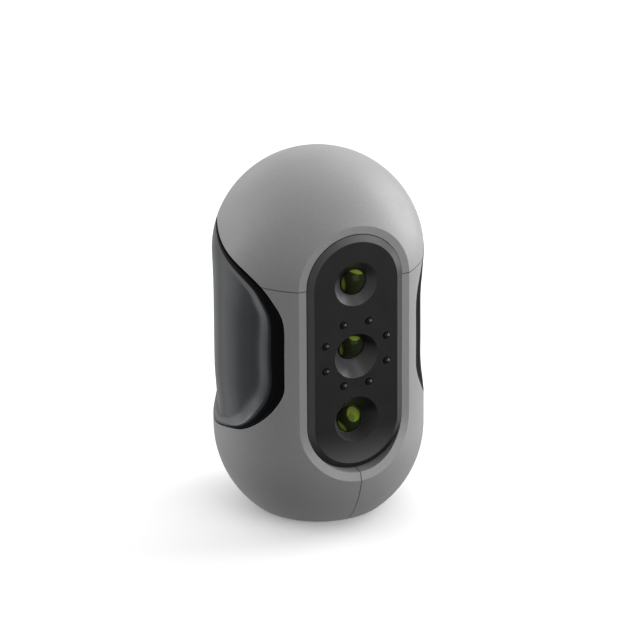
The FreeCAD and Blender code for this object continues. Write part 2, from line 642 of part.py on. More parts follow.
# ------------------------------------------------------------------ chassis
frame_block = slab("frame_block", [("- frame_x", "frame_lo"), ("frame_x", "frame_lo"),
                                   ("frame_x", "frame_hi"), ("- frame_x", "frame_hi")],
                   "frame_front - frame_back", "XZ_Plane", (0, "- frame_back", 0))
for x, z_ in POSTS:
    frame_cuts.append(cyl("window_screw_way", 1.1, 12.0, (x, -4.0, z_), TO_FRONT))
    frame_cuts.append(cyl("window_screw_head_way", 1.75, 6.0, (x, -4.0, z_), TO_FRONT))
for side, srot in ((-1, TO_LEFT), (1, TO_RIGHT)):
    for z_ in (44.0, 70.0):
        frame_cuts.append(cyl("side_tap", 1.27, 8.0, (side * 13.8, -11.0, z_), srot))
STANDOFFS = [(-15.5, 40.0), (15.5, 40.0), (-15.5, 92.0), (15.5, 92.0)]
for x, z_ in STANDOFFS:
    frame_cuts.append(cyl("standoff_tap", 1.25, 6.2, (x, -6.0, z_), TO_FRONT))
for key, spots in (("upper", [(7.9, 7.9), (-7.9, -7.9)]), ("lower", [(7.9, 7.9), (-7.9, -7.9)]),
                   ("middle", [(10.6, 7.0), (-10.6, 7.0), (10.6, -7.0), (-10.6, -7.0)])):
    f, z, tilt = MODULES[key]
    at, rot = axis_place(f, z, tilt, 17.0)
    for x, y in spots:
        p = Vector(*at).add(rot.multVec(Vector(x, y, 0)))
        frame_cuts.append(cyl(key + "_tap", 0.85, 5.3 if key != "middle" else 5.0, tuple(p), rot))
node("optical_frame", cut("optical_frame_solid", frame_block,
                          fuse("frame_openings", frame_cuts)))

group_parts = []
for key, spots in (("upper", [(7.9, 7.9), (-7.9, -7.9)]), ("lower", [(7.9, 7.9), (-7.9, -7.9)])):
    f, z, tilt = MODULES[key]
    at, rot = axis_place(f, z, tilt, 15.85)
    for x, y in spots:
        p = Vector(*at).add(rot.multVec(Vector(x, y, 0)))
        group_parts.append(screw("camera_screw", 1.05, 0.9, 0.8, 3.9, tuple(p), rot))
node("camera_screws", group("camera_screw_group", group_parts))
group_parts = []
f, z, tilt = MODULES["middle"]
at, rot = axis_place(f, z, tilt, 16.7)
for x, y in [(10.6, 7.0), (-10.6, 7.0), (10.6, -7.0), (-10.6, -7.0)]:
    p = Vector(*at).add(rot.multVec(Vector(x, y, 0)))
    group_parts.append(screw("projector_screw", 1.3, 1.0, 0.8, 4.4, tuple(p), rot))
node("projector_screws", group("projector_screw_group", group_parts))
node("window_screws", group("window_screw_group", [
    screw("window_screw", 1.6, 1.2, 0.8, 12.0, (x, -9.95, z_), TO_FRONT) for x, z_ in POSTS]))
group_parts = []
for side, srot in ((-1, TO_RIGHT), (1, TO_LEFT)):
    for z_ in (44.0, 70.0):
        group_parts.append(screw("side_screw", 2.4, 1.0, 1.2, 14.2,
                                 (side * 28.42, -11.0, z_), srot))
node("shell_screws", group("shell_screw_group", group_parts))

group_parts = []
for x, z_ in STANDOFFS:
    hexa = doc.addObject("Part::Prism", "standoff_hex")
    hexa.Polygon = 6
    hexa.Circumradius = 2.5
    hexa.Height = 24.9
    hexa.Placement = Placement(Vector(x, -6.95, z_), TO_BACK)
    stud = cyl("standoff_stud", 1.2, 5.2, (x, -6.8, z_), TO_FRONT)
    tap = cyl("standoff_tap_hole", 1.05, 7.0, (x, 11.0, z_), TO_BACK)
    group_parts.append(cut("standoff", fuse("standoff_blank", [hexa, stud]), tap))
node("board_standoffs", group("standoff_group", group_parts))
node("board_screws", group("board_screw_group", [
    screw("board_screw", 2.1, 1.2, 1.0, 7.4, (x, 19.65, z_), TO_FRONT) for x, z_ in STANDOFFS]))

# ------------------------------------------------------------------ electronics
node("main_board", slab("main_board", [("- main_x", "main_lo"), ("main_x", "main_lo"),
                                       ("main_x", "main_hi"), ("- main_x", "main_hi")],
                        "main_t", "XZ_Plane", (0, "main_y + main_t", 0),
                        holes=[(x, z_, 1.3) for x, z_ in STANDOFFS]))
node("processor_chip", box("processor_chip", (14.0, 1.35, 14.0), (-7.0, 16.6, 43.5)))
node("memory_chips", group("memory_chip_group", [
    box("memory_chip", (8.0, 1.0, 10.0), (x, 16.95, 47.0)) for x in (-17.5, 9.5)]))
parts = []
for x, z_, w, h_, t_ in ((-16.5, 58.0, 5.0, 5.0, 2.2), (11.5, 58.0, 5.0, 5.0, 2.2),
                         (-16.5, 66.0, 5.0, 5.0, 2.2), (11.5, 66.0, 5.0, 5.0, 2.2),
                         (-17.0, 76.0, 7.0, 4.0, 1.4), (10.0, 76.0, 7.0, 4.0, 1.4),
                         (-6.0, 88.0, 12.0, 3.0, 1.6), (8.0, 50.0, 3.0, 2.0, 0.8),
                         (-11.0, 50.0, 3.0, 2.0, 0.8)):
    parts.append(box("board_part", (w, t_, h_), (x, 19.65, z_)))
node("board_parts", group("board_part_group", parts))


def strip(name, pts, width):
    return node(name, slab(name, pts, width, "YZ_Plane", mid=True))


strip("upper_camera_flex", [(-11.95, 85.0), (-11.95, 94.75), (17.95, 94.75), (17.95, 89.0),
                            (17.7, 89.0), (17.7, 94.5), (-11.7, 94.5), (-11.7, 85.0)], 8.0)
strip("lower_camera_flex", [(-9.90, 30.0), (-8.85, 34.25), (17.7, 37.55), (17.7, 42.0),
                            (17.95, 42.0), (17.95, 37.3), (-8.65, 34.0), (-9.66, 29.95)], 8.0)
strip("button_flex", [(24.35, 57.0), (24.35, 49.5), (19.65, 49.5), (19.65, 57.0),
                      (19.9, 57.0), (19.9, 49.75), (24.1, 49.75), (24.1, 57.0)], 6.0)
strip("usb_flex", [(19.65, 39.0), (19.65, 23.9), (24.0, 23.9), (24.0, 24.15), (19.9, 24.15),
                   (19.9, 39.0)], 6.0)

node("usb_board", slab("usb_board", [(-8.0, 12.0), (8.0, 12.0), (8.0, 30.0), (-8.0, 30.0)],
                       "board_t", "XY_Plane", (0, 0, 22.65),
                       holes=[(-5.5, 16.0, 1.1), (5.5, 16.0, 1.1)]))


def flat_tube(name, r, half, y0, y1, z_):
    items = [box(name + "_mid", (2 * half, y1 - y0, 2 * r), (-half, y0, z_ - r))]
    for x in (-half, half):
        items.append(cyl(name + "_end", r, y1 - y0, (x, y0, z_), TO_BACK))
    return fuse(name, items)


usb_shell = cut("usb_shell", flat_tube("usb_out", 1.63, 2.84, 25.5, 33.4, 25.5),
                flat_tube("usb_in", 1.33, 2.84, 26.6, 34.0, 25.5))
tongue = box("usb_tongue", (6.6, 6.2, 0.7), (-3.3, 26.4, 25.15))
node("usb_connector", fuse("usb_connector_solid", [usb_shell, tongue]))

# ------------------------------------------------------------------ controls
panel = stadium("panel_plate", "panel_r", "panel_lo", "panel_hi", "panel_y",
                "panel_y - 29.2")
panel_flange = stadium("panel_flange", "panel_flange_r", "panel_lo", "panel_hi", 29.3, 1.0)
panel_room = stadium("panel_room", 8.1, "panel_lo", "panel_hi", "panel_under",
                     "panel_under - 27.0")
panel_0 = cut("panel_0", fuse("panel_blank", [panel, panel_flange]), panel_room)
pposts = [cyl("panel_post", 1.4, 5.65, (0, 25.65, z_), TO_BACK) for z_ in (67.7, 45.4)]
panel_drops = [cyl("panel_post_bore", 0.75, 6.0, (0, 25.0, z_), TO_BACK) for z_ in (67.7, 45.4)]
panel_drops.append(cyl("scan_hole", "scan_r + key_gap", 10.0, (0, 28.0, "scan_z"), TO_BACK))
panel_drops.append(cyl("plus_hole", "key_r + key_gap", 10.0, (0, 28.0, "plus_z"), TO_BACK))
panel_drops.append(cyl("minus_hole", "key_r + key_gap", 10.0, (0, 28.0, "minus_z"), TO_BACK))
panel_drops.append(turned("ring_groove", [(7.05, 32.2), (8.05, 32.2), (8.05, 34.0),
                                          (7.05, 34.0)], (0, 0, "scan_z"), TO_BACK))
node("control_panel", cut("control_panel_solid", fuse("panel_1", [panel_0] + pposts),
                          fuse("panel_holes", panel_drops)))
node("status_ring", turned("status_ring", [(7.1, 32.25), (8.0, 32.25), (8.0, 33.45),
                                           (7.85, 33.6), (7.25, 33.6), (7.1, 33.45)],
                           (0, 0, "scan_z"), TO_BACK))
node("scan_button", turned("scan_button", [
    (0.0, 29.45), (2.0, 29.45), (2.0, 30.2), (6.9, 30.2), (6.9, 31.0), ("scan_r", 31.0),
    ("scan_r", 34.1), ("scan_r - 0.35", 34.45), ("scan_r - 0.9", 34.55), (3.0, 34.25),
    (0.0, 34.15)], (0, 0, "scan_z"), TO_BACK))
for name, z_ in (("plus_button", "plus_z"), ("minus_button", "minus_z")):
    node(name, turned(name, [
        (0.0, 29.45), (2.0, 29.45), (2.0, 30.2), (4.3, 30.2), (4.3, 31.0), ("key_r", 31.0),
        ("key_r", 34.0), ("key_r - 0.3", 34.3), ("key_r - 0.8", 34.4), (0.0, 34.4)],
        (0, 0, z_), TO_BACK))
for name, z_ in (("scan_plunger", "scan_z"), ("plus_plunger", "plus_z"),
                 ("minus_plunger", "minus_z")):
    node(name, cyl(name, 1.75, 2.32, (0, 27.1, z_), TO_BACK))
switches = []
for z_ in ("scan_z", "plus_z", "minus_z"):
    block = box("switch_block", (6.2, 2.95, 6.2), (-3.1, 25.65, z_ + " - 3.1"))
    bore = cyl("switch_bore", 1.85, 4.0, (0, 26.3, z_), TO_BACK)
    switches.append(cut("switch", block, bore))
node("tact_switches", group("switch_group", switches))
node("button_board", slab("button_board", [(-7.8, 43.6), (7.8, 43.6), (7.8, 84.0),
                                           (-7.8, 84.0)], "board_t", "XZ_Plane",
                          (0, 25.6, 0), holes=[(0.0, 67.7, 0.9), (0.0, 45.4, 0.9)]))
node("panel_screws", group("panel_screw_group", [
    screw("panel_screw", 1.3, 0.9, 0.7, 4.6, (0, 24.35, z_), TO_BACK) for z_ in (67.7, 45.4)]))

# ------------------------------------------------------------------ base
node("foot_ring", turned("foot_ring", [
    ("foot_in", 0.35), ("foot_in + 0.35", 0.0), ("foot_out - 0.35", 0.0),
    ("foot_out", 0.35), ("foot_out", "foot_top"), ("foot_in", "foot_top")]))
base_disc = cyl("base_disc", 21.4, 2.45, (0, 0, 4.05))
base_posts = [cyl("base_post", 2.2, 16.3, (x, 16.0, 6.3)) for x in (-5.5, 5.5)]
base_drops = [cyl("base_centre", "insert_r + 0.1", 6.0, (0, 0, 2.0))]
for x, y in BASE_SCREWS:
    base_drops.append(cyl("base_tap", 1.25, 6.0, (x, y, 2.0)))
for x in (-5.5, 5.5):
    base_drops.append(cyl("base_post_tap", 1.0, 8.0, (x, 16.0, 15.0)))
node("base_plate", cut("base_plate_solid", fuse("base_blank", [base_disc] + base_posts),
                       fuse("base_openings", base_drops)))
node("tripod_insert", turned("tripod_insert", [
    ("thread_r", 0.0), ("insert_r - 0.3", 0.0), ("insert_r", 0.3), ("insert_r", 6.55),
    (8.6, 6.55), (8.6, 8.2), ("insert_r", 8.2), ("insert_r", 10.2), (0.0, 10.2),
    (0.0, "thread_len"), ("thread_r", "thread_len")]))
node("base_screws", group("base_screw_group", [
    screw("base_screw", 2.3, 1.1, 1.2, 3.5, (x, y, 2.8), Rotation()) for x, y in BASE_SCREWS]))
node("usb_screws", group("usb_screw_group", [
    screw("usb_screw", 1.8, 1.0, 0.95, 5.5, (x, 16.0, 23.9),
          Rotation(Vector(1, 0, 0), 180)) for x in (-5.5, 5.5)]))

# ------------------------------------------------------------------ check and write
doc.recompute()
bad = []
for o in doc.Objects:
    if "Invalid" in o.State or "Error" in o.State:
        bad.append("%s (%s): %s" % (o.Name, o.Label, o.State))
for name, o in NODES.items():
    shape = o.Shape
    if shape.isNull() or not shape.isValid() or not shape.Solids:
        bad.append("%s: shape null, invalid or without a solid" % name)
if bad:
    raise RuntimeError("\n".join(bad))
os.makedirs("parts", exist_ok=True)
for name, o in NODES.items():
    o.Shape.exportStep("parts/%s.step" % name)
    b = o.Shape.BoundBox
    print("%-22s solids %2d  vol %10.2f  x %7.2f %7.2f  y %7.2f %7.2f  z %7.2f %7.2f" % (
        name, len(o.Shape.Solids), o.Shape.Volume, b.XMin, b.XMax, b.YMin, b.YMax, b.ZMin,
        b.ZMax))
print("nodes", len(NODES))
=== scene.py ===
import bpy
import bmesh
import math
import numpy as np
from mathutils import Matrix, Vector


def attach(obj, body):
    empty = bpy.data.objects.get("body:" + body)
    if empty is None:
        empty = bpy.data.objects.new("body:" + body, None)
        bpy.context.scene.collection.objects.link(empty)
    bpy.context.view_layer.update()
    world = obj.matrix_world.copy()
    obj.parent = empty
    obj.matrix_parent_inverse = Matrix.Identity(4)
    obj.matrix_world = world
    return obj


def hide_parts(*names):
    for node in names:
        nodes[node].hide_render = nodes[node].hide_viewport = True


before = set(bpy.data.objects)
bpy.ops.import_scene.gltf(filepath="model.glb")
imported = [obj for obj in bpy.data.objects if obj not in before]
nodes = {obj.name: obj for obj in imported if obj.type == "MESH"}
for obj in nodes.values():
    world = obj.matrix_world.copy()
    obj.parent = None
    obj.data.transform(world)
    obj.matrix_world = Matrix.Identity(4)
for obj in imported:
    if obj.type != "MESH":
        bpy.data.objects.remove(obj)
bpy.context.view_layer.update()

scene = bpy.context.scene
MM = 0.001

# ---------------------------------------------------------------- camera
AZ, EL = math.radians(-24.2), math.radians(24.2)
DIST = 1.85
back = Vector((math.sin(AZ) * math.cos(EL), -math.cos(AZ) * math.cos(EL), math.sin(EL)))
right = Vector((math.cos(AZ), math.sin(AZ), 0.0))
aim = Vector((0.0, 0.0, 0.0632)) + right * 0.00069
cam_data = bpy.data.cameras.new("camera")
cam_data.sensor_width = 36.0
cam_data.lens = 315.3
cam_data.clip_start, cam_data.clip_end = 0.05, 50.0
cam = bpy.data.objects.new("camera", cam_data)
scene.collection.objects.link(cam)
cam.location = aim + back * DIST
cam.rotation_mode = "QUATERNION"
q = (-back).to_track_quat("-Z", "Y")
ROLL = math.radians(-0.34)
cam.rotation_quaternion = q @ Matrix.Rotation(ROLL, 4, "Z").to_quaternion()
scene.camera = cam


# ---------------------------------------------------------------- node helpers
class Shader:
    """Small helper round one material's node tree."""

    def __init__(self, name):
        self.mat = bpy.data.materials.new(name)
        self.mat.use_nodes = True
        self.nt = self.mat.node_tree
        self.nt.nodes.clear()
        self.out = self.nt.nodes.new("ShaderNodeOutputMaterial")
        self.bsdf = self.nt.nodes.new("ShaderNodeBsdfPrincipled")
        self.nt.links.new(self.bsdf.outputs[0], self.out.inputs[0])
        self.coord = self.nt.nodes.new("ShaderNodeTexCoord").outputs["Object"]

    def add(self, kind, ins=None, **props):
        n = self.nt.nodes.new(kind)
        for k, v in props.items():
            setattr(n, k, v)
        for k, v in (ins or {}).items():
            self.put(n.inputs[k], v)
        return n

    def put(self, socket, value):
        if isinstance(value, bpy.types.NodeSocket):
            self.nt.links.new(value, socket)
        else:
            socket.default_value = value

    def set(self, **values):
        for k, v in values.items():
            self.put(self.bsdf.inputs[k.replace("_", " ")], v)

    def math(self, op, a, b=0.0, c=0.0, clamp=False):
        n = self.add("ShaderNodeMath", operation=op, use_clamp=clamp)
        self.put(n.inputs[0], a)
        self.put(n.inputs[1], b)
        self.put(n.inputs[2], c)
        return n.outputs[0]

    def noise(self, scale, detail=2.0, rough=0.5, vector=None, distortion=0.0):
        n = self.add("ShaderNodeTexNoise", {"Vector": vector or self.coord, "Scale": scale,
                                            "Detail": detail, "Roughness": rough,
                                            "Distortion": distortion})
        return n.outputs["Fac"]

    def remap(self, value, lo, hi, to_lo, to_hi, kind="LINEAR"):
        n = self.add("ShaderNodeMapRange", interpolation_type=kind)
        for key, v in (("Value", value), ("From Min", lo), ("From Max", hi),
                       ("To Min", to_lo), ("To Max", to_hi)):
            self.put(n.inputs[key], v)
        return n.outputs["Result"]

    def mix(self, fac, a, b):
        n = self.add("ShaderNodeMix", data_type="RGBA")
        self.put(n.inputs[0], fac)
        self.put(n.inputs[6], (*a, 1.0) if isinstance(a, tuple) and len(a) == 3 else a)
        self.put(n.inputs[7], (*b, 1.0) if isinstance(b, tuple) and len(b) == 3 else b)
        return n.outputs[2]

    def stretched(self, scale):
        n = self.add("ShaderNodeMapping", {"Vector": self.coord})
        n.inputs["Scale"].default_value = scale
        return n.outputs[0]

    def edge(self, radius):
        """(rounded normal, 0..1 mask of the convex and concave edges)."""
        bev = self.add("ShaderNodeBevel", {"Radius": radius}, samples=4)
        geo = self.add("ShaderNodeNewGeometry")
        dot = self.add("ShaderNodeVectorMath", operation="DOT_PRODUCT")
        self.put(dot.inputs[0], bev.outputs[0])
        self.put(dot.inputs[1], geo.outputs["Normal"])
        return bev.outputs[0], self.remap(dot.outputs["Value"], 0.995, 0.86, 0.0, 1.0)

    def bump(self, height, depth, strength=1.0, normal=None):
        n = self.add("ShaderNodeBump", {"Height": height, "Distance": depth,
                                        "Strength": strength})
        if normal is not None:
            self.put(n.inputs["Normal"], normal)
        return n.outputs[0]


def moulded(name, dark, light, rough, rough_span=0.06, grain=0.4, depth=0.03, strength=0.5,
            wear=0.35, wear_colour=None, edge_r=0.18, ior=1.46, coat=0.0, coat_rough=0.2,
            blotch=0.5):
    """Moulded plastic: spark-eroded grain, faint flow marks, rubbed edges. Sizes in mm."""
    s = Shader(name)
    fine = s.noise(1000.0 / grain, 3.0, 0.55)
    broad = s.noise(38.0, 3.0, 0.5, distortion=0.6)
    speck = s.remap(fine, 0.34, 0.66, 0.0, 1.0)
    tone = s.math("ADD", s.math("MULTIPLY", speck, 1.0 - blotch),
                  s.math("MULTIPLY", broad, blotch), clamp=True)
    colour = s.mix(tone, dark, light)
    if edge_r:
        normal, mask = s.edge(edge_r * MM)
    else:
        normal, mask = None, s.remap(s.noise(260.0, 5.0, 0.65), 0.62, 0.80, 0.0, 0.4)
    rub = s.math("MULTIPLY", mask, s.remap(s.noise(420.0, 4.0, 0.6), 0.35, 0.7, 0.0, wear))
    wear_colour = wear_colour or tuple(min(1.0, 1.5 * c + 0.01) for c in light)
    s.set(Base_Color=s.mix(rub, colour, wear_colour))
    handled = s.noise(95.0, 4.0, 0.6)
    r = s.math("ADD", s.remap(handled, 0.3, 0.7, rough - rough_span, rough + rough_span),
               s.math("MULTIPLY", s.math("SUBTRACT", fine, 0.5), 0.12))
    s.set(Roughness=s.math("SUBTRACT", r, s.math("MULTIPLY", rub, 0.08), clamp=True))
    height = s.math("ADD", fine, s.math("MULTIPLY", s.noise(1000.0 / (grain * 2.7), 2.0), 0.6))
    s.set(Normal=s.bump(height, depth * MM, strength, normal))
    s.bsdf.inputs["IOR"].default_value = ior
    s.bsdf.inputs["Coat Weight"].default_value = coat
    s.bsdf.inputs["Coat Roughness"].default_value = coat_rough
    return s


def metal(name, dark, light, rough, brushed=(900.0, 900.0, 60.0), depth=0.006, edge_r=0.08):
    s = Shader(name)
    lines = s.noise(1.0, 4.0, 0.6, vector=s.stretched(brushed))
    stain = s.noise(160.0, 4.0, 0.55)
    normal, mask = s.edge(edge_r * MM)
    colour = s.mix(s.remap(stain, 0.3, 0.7, 0.0, 1.0), dark, light)
    s.set(Base_Color=s.mix(s.math("MULTIPLY", mask, 0.6), colour,
                           tuple(min(1.0, c * 1.15 + 0.02) for c in light)),
          Roughness=s.math("ADD", s.remap(lines, 0.3, 0.7, rough - 0.08, rough + 0.1),
                           s.math("MULTIPLY", stain, 0.06), clamp=True),
          Normal=s.bump(lines, depth * MM, 0.6, normal))
    s.bsdf.inputs["Metallic"].default_value = 1.0
    return s


# ---------------------------------------------------------------- finishes
casing = moulded("casing_grey_plastic", (0.205, 0.205, 0.206), (0.262, 0.262, 0.263), 0.50,
                 grain=0.42, depth=0.07, strength=0.80, wear=0.3, edge_r=0.2)
# grime held along the parting lines: round the cap at z 88.2 mm, and at x 0 below it
sep = casing.add("ShaderNodeSeparateXYZ", {"Vector": casing.coord})
round_line = casing.remap(casing.math("ABSOLUTE", casing.math("SUBTRACT", sep.outputs[2],
                                                              88.2 * MM)),
                          0.21 * MM, 0.09 * MM, 0.0, 1.0)
down_line = casing.math("MULTIPLY",
                        casing.remap(casing.math("ABSOLUTE", sep.outputs[0]),
                                     0.19 * MM, 0.08 * MM, 0.0, 1.0),
                        casing.remap(sep.outputs[2], 88.15 * MM, 88.05 * MM, 0.0, 1.0))
grime = casing.math("MULTIPLY", casing.math("MAXIMUM", round_line, down_line),
                    casing.remap(casing.noise(420.0, 3.0), 0.3, 0.7, 0.65, 0.95))
casing.set(Base_Color=casing.mix(grime, casing.bsdf.inputs["Base Color"].links[0].from_socket,
                                 (0.045, 0.045, 0.045)))

# window plate: deep black face, slightly greyer chamfer and funnels; the face is painted paler
# towards its foot, a painted light
s = moulded("window_satin_black", (0.0066, 0.0066, 0.0068), (0.0094, 0.0094, 0.0097), 0.36,
            rough_span=0.03, grain=0.25, depth=0.008, strength=0.3, wear=0.15,
            wear_colour=(0.03, 0.03, 0.031), edge_r=0.0, ior=1.5)
sep = s.add("ShaderNodeSeparateXYZ", {"Vector": s.coord})
face = s.remap(sep.outputs[1], -0.03032, -0.03038, 0.0, 1.0)
# painted light: the face's colour grows paler towards the bottom of the plate
foot = s.math("POWER", s.remap(sep.outputs[2], 0.0375, 0.0235, 0.0, 1.0), 1.6)
plain = s.bsdf.inputs["Base Color"].links[0].from_socket
speck = s.noise(3600.0, 2.0)
face_with_painted_light = s.mix(foot, plain, (0.088, 0.088, 0.089))
chamfer = s.mix(speck, (0.046, 0.046, 0.047), (0.066, 0.066, 0.067))
# painted shade: the chamfer and funnel sides that face down are darkened to near black, those that
# face up keep the greyer colour
facing = s.add("ShaderNodeSeparateXYZ", {"Vector": s.add("ShaderNodeNewGeometry").outputs["Normal"]})
painted_shade_down = s.remap(facing.outputs[2], 0.02, -0.42, 0.0, 1.0, "SMOOTHSTEP")
chamfer = s.mix(painted_shade_down, chamfer, (0.011, 0.011, 0.0115))
s.set(Base_Color=s.mix(face, chamfer, face_with_painted_light))
s.bsdf.inputs["Specular IOR Level"].default_value = 0.42
window_black = s

gasket_rubber = moulded("gasket_rubber", (0.008, 0.008, 0.008), (0.02, 0.02, 0.02), 0.7,
                        grain=0.3, depth=0.02, strength=0.6, wear=0.2,
                        wear_colour=(0.05, 0.05, 0.05))

# dark slate elastomer of the grips: glossy rim, satin palm surface, dust in the pores
grip_slate = moulded("grip_slate_elastomer", (0.0030, 0.0033, 0.0040), (0.0052, 0.0057, 0.0068),
                     0.24, rough_span=0.03, grain=0.55, depth=0.006, strength=0.25, wear=0.04,
                     wear_colour=(0.02, 0.021, 0.023), edge_r=0.0, ior=1.52)

grip_slate.bsdf.inputs["Specular Tint"].default_value = (0.84, 0.92, 1.0, 1.0)

# the grips' raised rim: denser, blacker compound with little sheen
grip_rim = moulded("grip_rim_black", (0.0026, 0.0027, 0.0030), (0.0050, 0.0052, 0.0056), 0.40,
                   rough_span=0.05, grain=0.40, depth=0.006, strength=0.3, wear=0.15,
                   wear_colour=(0.012, 0.012, 0.013), edge_r=0.0, ior=1.5)
grip_rim.bsdf.inputs["Specular IOR Level"].default_value = 0.03

panel_black = moulded("panel_satin_black", (0.014, 0.014, 0.015), (0.022, 0.022, 0.024), 0.38,
                      grain=0.3, depth=0.012, strength=0.35, wear=0.4,
                      wear_colour=(0.07, 0.07, 0.075))
button_soft = moulded("button_soft_touch", (0.060, 0.061, 0.064), (0.088, 0.089, 0.093), 0.52,
                      grain=0.34, depth=0.02, strength=0.5, wear=0.5,
                      wear_colour=(0.17, 0.17, 0.18))
mark_white = moulded("key_mark_white", (0.52, 0.52, 0.52), (0.66, 0.66, 0.66), 0.42,
                     grain=0.25, depth=0.006, strength=0.4, wear=0.4,
                     wear_colour=(0.4, 0.4, 0.4), edge_r=0.05)

light_guide = moulded("light_guide_frosted", (0.50, 0.53, 0.55), (0.66, 0.68, 0.70), 0.34,
                      grain=0.3, depth=0.01, strength=0.5, wear=0.2,
                      wear_colour=(0.8, 0.82, 0.84), edge_r=0.1)
light_guide.bsdf.inputs["Subsurface Weight"].default_value = 0.35
light_guide.bsdf.inputs["Subsurface Radius"].default_value = (0.6, 0.7, 0.8)
light_guide.bsdf.inputs["Subsurface Scale"].default_value = 0.001

# ribbed rubber of the foot: concentric ridges worked out from the distance to the axis
s = moulded("foot_rubber", (0.012, 0.012, 0.012), (0.028, 0.028, 0.029), 0.66, grain=0.35,
            depth=0.03, strength=0.6, wear=0.5, wear_colour=(0.08, 0.078, 0.074))
sep = s.add("ShaderNodeSeparateXYZ", {"Vector": s.coord})
rad = s.math("SQRT", s.math("ADD", s.math("MULTIPLY", sep.outputs[0], sep.outputs[0]),
                            s.math("MULTIPLY", sep.outputs[1], sep.outputs[1])))
ridge = s.math("SINE", s.math("MULTIPLY", rad, 2 * math.pi / (0.62 * MM)))
under = s.remap(sep.outputs[2], 0.0004, 0.0, 0.0, 1.0)
old = s.bsdf.inputs["Normal"].links[0].from_socket
s.set(Normal=s.bump(s.math("MULTIPLY", ridge, under), 0.08 * MM, 0.8, old))
foot_rubber = s

aluminium = metal("aluminium_cast", (0.62, 0.63, 0.64), (0.80, 0.80, 0.81), 0.36)
brass = metal("brass_turned", (0.60, 0.43, 0.17), (0.83, 0.65, 0.32), 0.28,
              brushed=(120.0, 120.0, 3200.0))
steel = metal("steel_zinc", (0.50, 0.51, 0.52), (0.74, 0.75, 0.76), 0.27)
black_metal = metal("barrel_black_metal", (0.010, 0.010, 0.011), (0.022, 0.022, 0.023), 0.30,
                    brushed=(900.0, 60.0, 900.0))
black_metal.bsdf.inputs["Metallic"].default_value = 0.6
black_plastic = moulded("black_plastic", (0.010, 0.010, 0.011), (0.022, 0.022, 0.023), 0.45,
                        grain=0.3, depth=0.02, strength=0.5)

# infra-red pass plastic of the marker lamps: near-black, very glossy
s = Shader("lamp_dark_epoxy")
tint = s.noise(900.0, 3.0, 0.5)
s.set(Base_Color=s.mix(tint, (0.0022, 0.0020, 0.0028), (0.0065, 0.0050, 0.0070)),
      Roughness=s.remap(s.noise(2600.0, 3.0, 0.6), 0.3, 0.7, 0.07, 0.15),
      Normal=s.bump(s.noise(1500.0, 2.0), 0.004 * MM, 0.3))
s.bsdf.inputs["IOR"].default_value = 1.50
s.bsdf.inputs["Specular IOR Level"].default_value = 0.30
s.bsdf.inputs["Coat Weight"].default_value = 0.12
s.bsdf.inputs["Coat Roughness"].default_value = 0.05
lamp_dark = s

# printed boards: solder mask over traces, with vias
s = Shader("board_solder_mask")
brick = s.add("ShaderNodeTexBrick", {"Vector": s.coord, "Scale": 700.0, "Mortar Size": 0.035,
                                     "Mortar Smooth": 0.2, "Row Height": 0.42,
                                     "Brick Width": 1.9})
vor = s.add("ShaderNodeTexVoronoi", {"Vector": s.coord, "Scale": 520.0, "Randomness": 0.75})
via = s.remap(vor.outputs["Distance"], 0.10, 0.14, 1.0, 0.0)
mask_colour = s.mix(s.noise(70.0, 3.0), (0.006, 0.055, 0.030), (0.010, 0.085, 0.045))
trace = s.mix(brick.outputs["Fac"], mask_colour, (0.025, 0.16, 0.075))
s.set(Base_Color=s.mix(via, trace, (0.62, 0.50, 0.24)),
      Roughness=s.remap(s.noise(800.0, 3.0), 0.3, 0.7, 0.25, 0.42),
      Normal=s.bump(s.math("ADD", brick.outputs["Fac"], s.noise(2400.0, 2.0)), 0.02 * MM, 0.5))
board = s

chip = moulded("chip_epoxy", (0.014, 0.014, 0.015), (0.030, 0.030, 0.031), 0.58, grain=0.22,
               depth=0.02, strength=0.7, wear=0.2)

s = Shader("flex_polyimide")
wave = s.add("ShaderNodeTexWave", {"Vector": s.coord, "Scale": 420.0, "Distortion": 0.4,
                                   "Detail": 2.0}, bands_direction="X")
s.set(Base_Color=s.mix(s.remap(wave.outputs["Fac"], 0.4, 0.6, 0.0, 1.0),
                       (0.42, 0.16, 0.025), (0.60, 0.29, 0.06)),
      Roughness=s.remap(s.noise(500.0, 3.0), 0.3, 0.7, 0.28, 0.46),
      Normal=s.bump(wave.outputs["Fac"], 0.02 * MM, 0.5))
s.bsdf.inputs["Coat Weight"].default_value = 0.3
flex = s

s = Shader("slide_chrome_on_glass")
dots = s.add("ShaderNodeTexVoronoi", {"Vector": s.coord, "Scale": 1800.0, "Randomness": 1.0})
on = s.remap(dots.outputs["Distance"], 0.30, 0.36, 1.0, 0.0)
s.set(Base_Color=s.mix(on, (0.05, 0.05, 0.055), (0.72, 0.74, 0.74)),
      Roughness=s.remap(s.noise(900.0, 3.0), 0.3, 0.7, 0.05, 0.14),
      Normal=s.bump(on, 0.003 * MM, 0.4))
slide_glass = s

